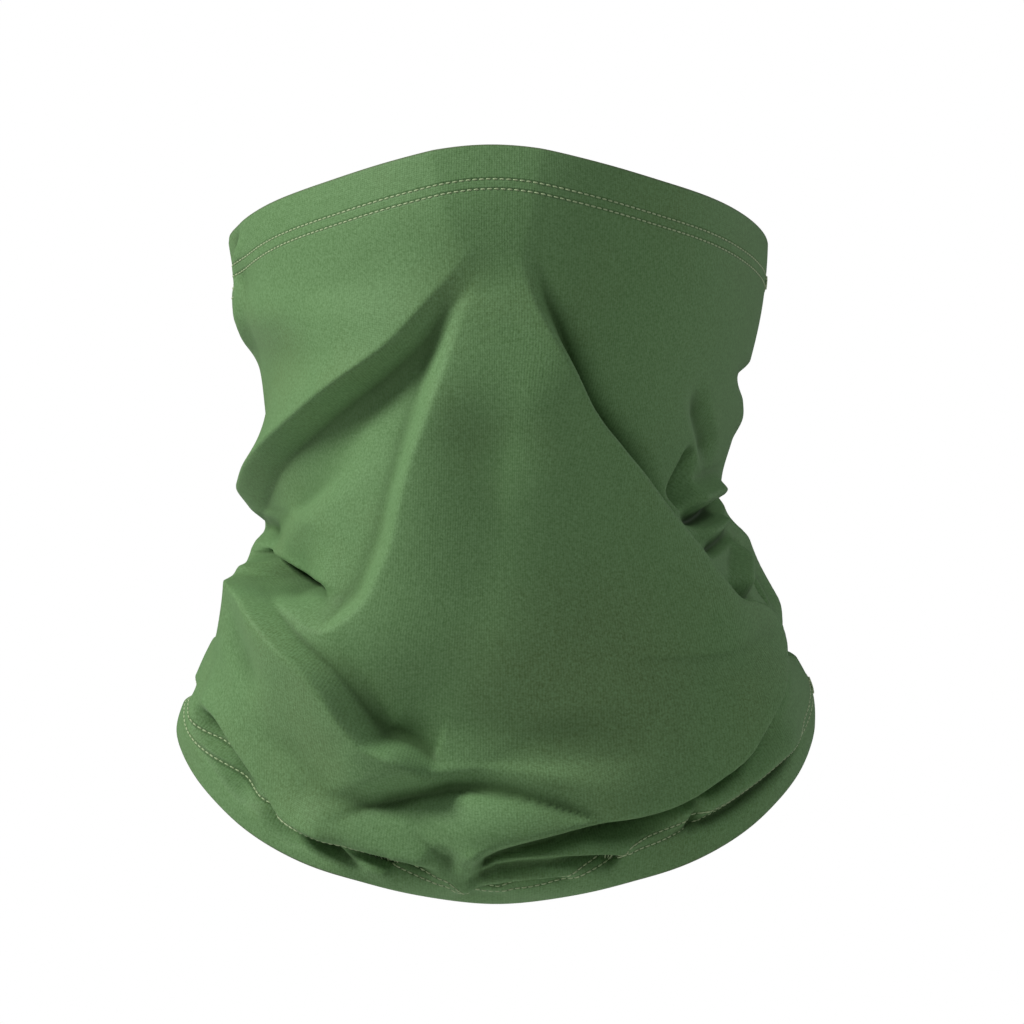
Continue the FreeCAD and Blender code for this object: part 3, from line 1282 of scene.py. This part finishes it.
@dataclass
class GatheredTube:
    """The single layer of jersey between the two folded edges."""

    drape: Drape
    cut: ClothCut
    finish: JerseyFinish
    hem_rows: int = 18

    def edge_inset(self, depth: float) -> float:
        """How far the outer face has rolled inwards.

        Args:
            depth: distance from the folded edge.

        Returns:
            The distance inside the outer face.
        """
        radius = self.drape.edge_round
        if depth >= radius:
            return 0.0
        return radius - math.sqrt(radius ** 2 - (radius - depth) ** 2)

    def build(self) -> bpy.types.Object:
        """Build and dress the tube.

        Returns:
            The tube.
        """
        cut, drape = self.cut, self.drape
        turns = cut.turns()
        depths = cut.depths(drape.edge_round, self.hem_rows)
        rows: list[tuple[Array, float, float]] = []
        for depth in depths:
            rows.append((drape.line("neck", depth)(turns), self.edge_inset(depth), depth))
        low = drape.line("neck", cut.hem_depth)(turns)
        high = drape.line("top", cut.hem_depth)(turns)
        for share in np.arange(1, cut.middle_rows) / cut.middle_rows:
            flat = cut.hem_depth + share * (cut.length - 2 * cut.hem_depth)
            rows.append((low + (high - low) * share, 0.0, flat))
        for depth in reversed(depths):
            inset = self.edge_inset(depth)
            rows.append((drape.line("top", depth)(turns), inset, cut.length - depth))
        height = np.stack([row[0] for row in rows])
        inset = np.array([row[1] for row in rows])[:, None]
        points = drape.place(np.broadcast_to(turns, height.shape), height, inset)
        flat = flat_grid(cut.across(), np.array([row[2] for row in rows]) * MM)
        piece = grid_piece("gathered_tube", points, flat, closed=True)
        thicken(piece, cut.thickness * MM)
        dress(piece, self.finish.material("green_jersey"), "tube_fabric")
        return piece


@dataclass
class StitchedHem:
    """One turned hem with its twin-needle coverstitch. Sizes are in millimetres."""

    drape: Drape
    cut: ClothCut
    jersey: JerseyFinish
    thread: ThreadFinish
    edge: Edge
    first_row: float = 11.5
    spacing: float = 3.2
    pitch: float = 2.15
    thread_radius: float = 0.28
    looper_share: float = 0.8
    looper_overrun: float = 0.3
    sunk: float = 0.16
    clearance: float = 0.15
    turn_rows: int = 14

    def build(self) -> list[bpy.types.Object]:
        """Build and dress every piece of this hem.

        Returns:
            The pieces.
        """
        name = self.edge.value
        material = self.thread.material(f"{name}_hem_thread")
        pieces = [self._turnback()]
        for label, distance in (
                ("first", self.first_row), ("second", self.first_row + self.spacing)):
            piece = strand_piece(
                f"{name}_hem_{label}_stitch_row", self._row(distance), self.thread_radius * MM)
            dress(piece, material, f"{name}_hem_needle_thread_{label}_row")
            pieces.append(piece)
        looper = strand_piece(
            f"{name}_hem_looper", self._looper(), self.thread_radius * MM * self.looper_share)
        dress(looper, material, f"{name}_hem_looper_thread")
        tack = strand_piece(f"{name}_hem_tack", self._tack(), self.thread_radius * MM)
        dress(tack, material, f"{name}_hem_closing_tack")
        return pieces + [looper, tack]

    def _turnback(self) -> bpy.types.Object:
        """Build the layer folded to the inside.

        Returns:
            The layer.
        """
        cut, drape, name = self.cut, self.drape, self.edge.value
        turns = cut.turns()
        radius = drape.edge_round
        depths = cut.depths(radius, self.turn_rows)
        heights, insets = [], []
        for depth in depths:
            heights.append(drape.line(name, depth)(turns))
            round_in = math.sqrt(max(radius ** 2 - max(radius - depth, 0) ** 2, 0))
            insets.append(radius + round_in)
        height = np.stack(heights)
        points = drape.place(
            np.broadcast_to(turns, height.shape), height, np.array(insets)[:, None])
        flat = flat_grid(cut.across(), np.array(depths) * MM)
        downward = self.edge is Edge.TOP
        piece = grid_piece(f"{name}_hem_turning", points, flat, closed=True, outward=downward)
        thicken(piece, cut.thickness * MM)
        material = self.jersey.material(f"{name}_hem_jersey")
        dress(piece, material, f"{name}_hem_turnback")
        return piece

    def _stations(self, distance: float) -> Array:
        """Turns of the needle holes along a row, evenly spaced on the cloth.

        Args:
            distance: distance of the row from the folded edge.

        Returns:
            The turns.
        """
        samples = 1081
        turns = self.cut.seam_turn + np.linspace(0, FULL_TURN, samples)
        line = self.drape.place(turns, self.drape.line(self.edge.value, distance)(turns)) / MM
        run = np.concatenate([[0], np.cumsum(np.linalg.norm(np.diff(line, axis=0), axis=1))])
        count = round(run[-1] / self.pitch)
        return np.interp(np.arange(count) * run[-1] / count, run, turns)

    def _row(self, distance: float) -> list[Run]:
        """Centre lines of one row's stitches.

        Args:
            distance: distance of the row from the folded edge.

        Returns:
            One line per stitch with its outward directions.
        """
        holes = self._stations(distance)
        step = float(np.mean(np.diff(holes)))
        share = np.array([0.06, 0.18, 0.36, 0.60, 0.78, 0.90])
        rise = np.array([-0.34, -0.02, 0.12, 0.12, -0.02, -0.34])
        turns = holes[:, None] + share[None, :] * step
        height = self.drape.line(self.edge.value, distance)(turns)
        points = self.drape.place(turns, height, self.sunk - rise[None, :])
        outward = self.drape.outward(turns, height)
        return list(zip(points, outward))

    def _looper(self) -> list[Run]:
        """Centre lines of the looper thread that crosses between the rows inside.

        Returns:
            One closed zigzag, cut at the side seam.
        """
        holes = self._stations(self.first_row + self.spacing / 2)
        stations = np.append(holes, holes[0] + FULL_TURN)
        turns = np.repeat(stations, 4)[:-2]
        gap = float(np.mean(np.diff(stations)))
        turns = turns + np.tile([0.0, 0.25, 0.45, 0.70], len(stations))[:-2] * gap
        side = np.tile([-0.9, 0.9, 1.0, -1.0], len(stations))[:-2]
        middle = self.first_row + self.spacing / 2
        half = self.spacing / 2 + self.looper_overrun
        near = self.drape.line(self.edge.value, middle - half)(turns)
        far = self.drape.line(self.edge.value, middle + half)(turns)
        height = near + (far - near) * (side + 1) / 2
        inset = 2 * self.drape.edge_round + self.clearance
        points = self.drape.place(turns, height, inset)
        return [(points, self.drape.outward(turns, height))]

    def _tack(self) -> list[Run]:
        """Centre lines of the overlapping stitches where the hem crosses the side seam.

        Each stitch runs from one place to another, given round the hem from the seam and from
        the first needle row towards the second.

        Returns:
            One line per stitch.
        """
        runs = []
        stitches = (
            ((-2.6, 0.0), (2.4, 0.3)), ((-1.9, 3.2), (2.8, 3.0)), ((-2.4, 0.6), (2.2, 1.0)),
            ((-1.2, 0.2), (1.6, 2.9)), ((1.4, 0.4), (-1.5, 3.1)))
        share = np.linspace(0, 1, 8)
        for row, ((start, low), (end, high)) in enumerate(stitches):
            turns = self.cut.seam_turn + (start + (end - start) * share) * self.drape.turn_per_mm
            distance = self.first_row + low + (high - low) * share
            near = self.drape.line(self.edge.value, self.first_row)(turns)
            far = self.drape.line(self.edge.value, self.first_row + self.spacing)(turns)
            height = near + (far - near) * (distance - self.first_row) / self.spacing
            lift = np.where((share < 0.05) | (share > 0.95), -0.3, 0.28 + 0.08 * (row % 2))
            points = self.drape.place(turns, height, -lift)
            runs.append((points, self.drape.outward(turns, height)))
        return runs


@dataclass
class SideSeam:
    """The overlocked seam that closes the tube. Sizes are in millimetres."""

    drape: Drape
    cut: ClothCut
    jersey: JerseyFinish
    thread: ThreadFinish
    width: float = 6.0
    gap: float = 1.0
    rows: int = 120
    pitch: float = 2.3
    thread_radius: float = 0.16
    inner_row: float = 2.3
    outer_row: float = 4.5
    outer_ply: float = 1.15
    inner_ply: float = 2.35
    upper_face: float = 2.85
    lower_face: float = 0.75

    def _at(self, across: Array, share: Array) -> tuple[Array, Array]:
        """Find places on the seam.

        Args:
            across: distance behind the seam.
            share: share of the free seam's length, from the neck hem up.

        Returns:
            The turns and the heights.
        """
        turns = self.cut.seam_turn + across * self.drape.turn_per_mm
        reach = self.cut.hem_depth + self.gap
        low = self.drape.line("neck", reach)(turns)
        high = self.drape.line("top", reach)(turns)
        return turns, low + (high - low) * share

    def _grid(self, across: Array, inset: Array) -> Array:
        """Points of a strip beside the seam, between the hems.

        Args:
            across: distance of each column behind the seam.
            inset: depth of each column inside the outer face.

        Returns:
            Rows by columns of points.
        """
        turns, height = self._at(across, np.linspace(0, 1, self.rows)[:, None])
        return self.drape.place(np.broadcast_to(turns, height.shape), height, inset)

    def build(self) -> list[bpy.types.Object]:
        """Build and dress every piece of the seam.

        Returns:
            The pieces.
        """
        material = self.thread.material("side_seam_thread")
        pieces = [self._allowance()]
        for label, across in (("inner", self.inner_row), ("outer", self.outer_row)):
            piece = strand_piece(
                f"side_seam_{label}_needle_row", self._chain(across), self.thread_radius * MM)
            dress(piece, material, f"side_seam_needle_thread_{label}")
            pieces.append(piece)
        for label, inset in (("upper", self.upper_face), ("lower", self.lower_face)):
            piece = strand_piece(
                f"side_seam_{label}_looper", self._overlock(inset), self.thread_radius * MM)
            dress(piece, material, f"side_seam_{label}_looper_thread")
            pieces.append(piece)
        return pieces

    def _allowance(self) -> bpy.types.Object:
        """Build the two cloth edges pressed to the back of the seam.

        Returns:
            The allowance.
        """
        cut = self.cut
        near, far = self.outer_ply, self.inner_ply
        leg = [self.width, 4.0, 2.0, 0.6, 0.15]
        across = np.array(leg + [0.0] + leg[::-1])
        inset = np.array([near] * 4 + [near + 0.15, (near + far) / 2, far - 0.15] + [far] * 4)
        points = self._grid(across, inset)
        around = np.concatenate([[0], np.cumsum(np.hypot(np.diff(across), np.diff(inset)))])
        length = self._length()
        along = cut.hem_depth + np.linspace(0, 1, self.rows) * length
        flat = flat_grid(around * MM, along * MM)
        piece = grid_piece("side_seam_plies", points, flat, closed=False)
        thicken(piece, cut.thickness * MM, offset=0.0)
        material = self.jersey.material("side_seam_jersey")
        dress(piece, material, "side_seam_allowance")
        return piece

    def _length(self) -> float:
        """Length of the free seam between the hems, in millimetres."""
        height = self._grid(np.array([0.0]), np.array([0.0]))[:, 0] / MM
        return float(np.linalg.norm(np.diff(height, axis=0), axis=1).sum())

    def _lengthwise(self) -> Array:
        """Divide the seam into stitches.

        Returns:
            Shares of the seam's length at which stitches begin.
        """
        turn = np.array([self.cut.seam_turn])
        reach = self.cut.hem_depth + self.gap
        span = self.drape.line("top", reach)(turn) - self.drape.line("neck", reach)(turn)
        count = int(span[0] / self.pitch)
        return np.arange(count) / count

    def _run(self, across: Array, share: Array, inset: Array) -> Run:
        """Centre line on the seam.

        Args:
            across: distance behind the seam.
            share: share of the seam's length.
            inset: depth inside the outer face.

        Returns:
            The points and the directions out of the inner face.
        """
        turns, height = self._at(across, share)
        return self.drape.place(turns, height, inset), -self.drape.outward(turns, height)

    def _chain(self, across: float) -> list[Run]:
        """Needle stitches in a straight row.

        Args:
            across: distance of the row behind the seam.

        Returns:
            One line per stitch with its outward directions.
        """
        shares = self._lengthwise()
        step = shares[1] - shares[0]
        places = shares[:, None] + step * np.array([0.05, 0.2, 0.5, 0.8, 0.95])
        inset = np.broadcast_to([2.5, 2.78, 2.84, 2.78, 2.5], places.shape)
        points, outward = self._run(np.full(places.shape, across), places, inset)
        return list(zip(points, outward))

    def _overlock(self, inset: float) -> list[Run]:
        """One looper's zigzag over the allowance.

        Args:
            inset: depth of the face it lies on.

        Returns:
            The zigzag as one line.
        """
        shares = self._lengthwise()
        step = shares[1] - shares[0]
        places = np.repeat(shares, 4) + np.tile([0.0, 0.22, 0.5, 0.78], len(shares)) * step
        across = np.tile([2.2, 4.2, self.width + 0.1, 4.2], len(shares))
        level = np.full(len(places), inset)
        return [self._run(across, places, level)]


# ---------------------------------------------------------------------------------------
# Studio
# ---------------------------------------------------------------------------------------

@dataclass(frozen=True)
class Lamp:
    """One soft square lamp. Its offset is from the object's centre, in metres like its side."""

    name: str
    offset: tuple[float, float, float]
    size: float
    power: float
    colour: tuple[float, float, float]

    def hang(self, centre: Vector) -> None:
        """Hang the lamp, pointing at the object.

        Args:
            centre: the object's centre.
        """
        light = bpy.data.lights.new(self.name, "AREA")
        light.size = self.size
        light.energy = self.power
        light.color = self.colour
        lamp = bpy.data.objects.new(self.name, light)
        offset = Vector(self.offset)
        lamp.location = centre + offset
        lamp.rotation_mode = "QUATERNION"
        lamp.rotation_quaternion = offset.to_track_quat("Z", "Y")
        bpy.context.collection.objects.link(lamp)


@dataclass(frozen=True)
class Studio:
    """Pale floor, soft light and the camera. Sizes are in metres."""

    drop: float = 0.32
    floor_size: float = 7.0
    distance: float = 10.0
    view_width: float = 0.3277
    sensor: float = 36.0
    aim_right: float = 0.005
    aim_up: float = 0.003
    glow: float = 0.03
    lamps: tuple[Lamp, ...] = (
        Lamp("key", (-1.68, -0.50, 1.35), 0.5, 46.0, (1.0, 1.0, 0.97)),
        Lamp("fill", (1.0, -1.25, 1.40), 0.8, 9.8, (0.98, 1.0, 1.0)),
        Lamp("rim", (1.6, 1.0, 0.5), 0.8, 4.5, (0.97, 1.0, 1.0)),
        Lamp("top", (-0.1, -0.2, 1.9), 0.8, 2.0, (1.0, 1.0, 1.0)),
    )

    def build(self, low: Vector, high: Vector) -> None:
        """Set up the studio round the object.

        Args:
            low: lowest corner of the object's box.
            high: highest corner of the object's box.
        """
        centre = (low + high) / 2
        self._floor(low.z - self.drop)
        for lamp in self.lamps:
            lamp.hang(centre)
        self._sky()
        self._camera(centre)
        bpy.context.scene.view_settings.view_transform = "Standard"

    def _floor(self, level: float) -> None:
        """Lay the floor.

        Args:
            level: its height.
        """
        half = self.floor_size / 2
        mesh = bpy.data.meshes.new("floor")
        sides = ((-half, -half), (half, -half), (half, half), (-half, half))
        corners = [(x, y, level) for x, y in sides]
        mesh.from_pydata(corners, [], [(0, 1, 2, 3)])
        floor = bpy.data.objects.new("floor", mesh)
        bpy.context.collection.objects.link(floor)
        floor.data.materials.append(FloorFinish().material("studio_floor"))

    def _sky(self) -> None:
        """White surroundings that light the object softly."""
        world = bpy.data.worlds.new("studio")
        world.use_nodes = True
        nodes, links = world.node_tree.nodes, world.node_tree.links
        nodes.clear()
        seen = nodes.new("ShaderNodeBackground")
        seen.inputs[1].default_value = 1.0
        glow = nodes.new("ShaderNodeBackground")
        glow.inputs[1].default_value = self.glow
        for node in (seen, glow):
            node.inputs[0].default_value = (1.0, 1.0, 1.0, 1.0)
        path = nodes.new("ShaderNodeLightPath")
        blend = nodes.new("ShaderNodeMixShader")
        output = nodes.new("ShaderNodeOutputWorld")
        links.new(path.outputs["Is Camera Ray"], blend.inputs[0])
        links.new(glow.outputs[0], blend.inputs[1])
        links.new(seen.outputs[0], blend.inputs[2])
        links.new(blend.outputs[0], output.inputs[0])
        bpy.context.scene.world = world

    def _camera(self, centre: Vector) -> None:
        """Place the camera level with the object, looking along +Y.

        Args:
            centre: the object's centre.
        """
        data = bpy.data.cameras.new("camera")
        data.sensor_width = self.sensor
        data.lens = self.sensor * self.distance / self.view_width
        data.clip_end = 100.0
        camera = bpy.data.objects.new("camera", data)
        camera.location = (self.aim_right, centre.y - self.distance, centre.z + self.aim_up)
        camera.rotation_euler = (math.pi / 2, 0.0, 0.0)
        bpy.context.collection.objects.link(camera)
        bpy.context.scene.camera = camera


def main() -> None:
    """Build the gaiter and the studio."""
    logging.basicConfig(level=logging.INFO, format="%(relativeCreated)6d ms  %(message)s")
    low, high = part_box("tube_fabric")
    drawn_height = 244.0
    drape = Drape(WornShape(), FOLDS, (high[2] - low[2]) / MM / drawn_height)
    cut, jersey, thread = ClothCut(), JerseyFinish(), ThreadFinish()
    GatheredTube(drape, cut, jersey).build()
    for edge in Edge:
        StitchedHem(drape, cut, jersey, thread, edge).build()
    SideSeam(drape, cut, jersey, thread).build()
    Studio().build(cad_low, cad_high)


if __name__ == "__main__":
    main()
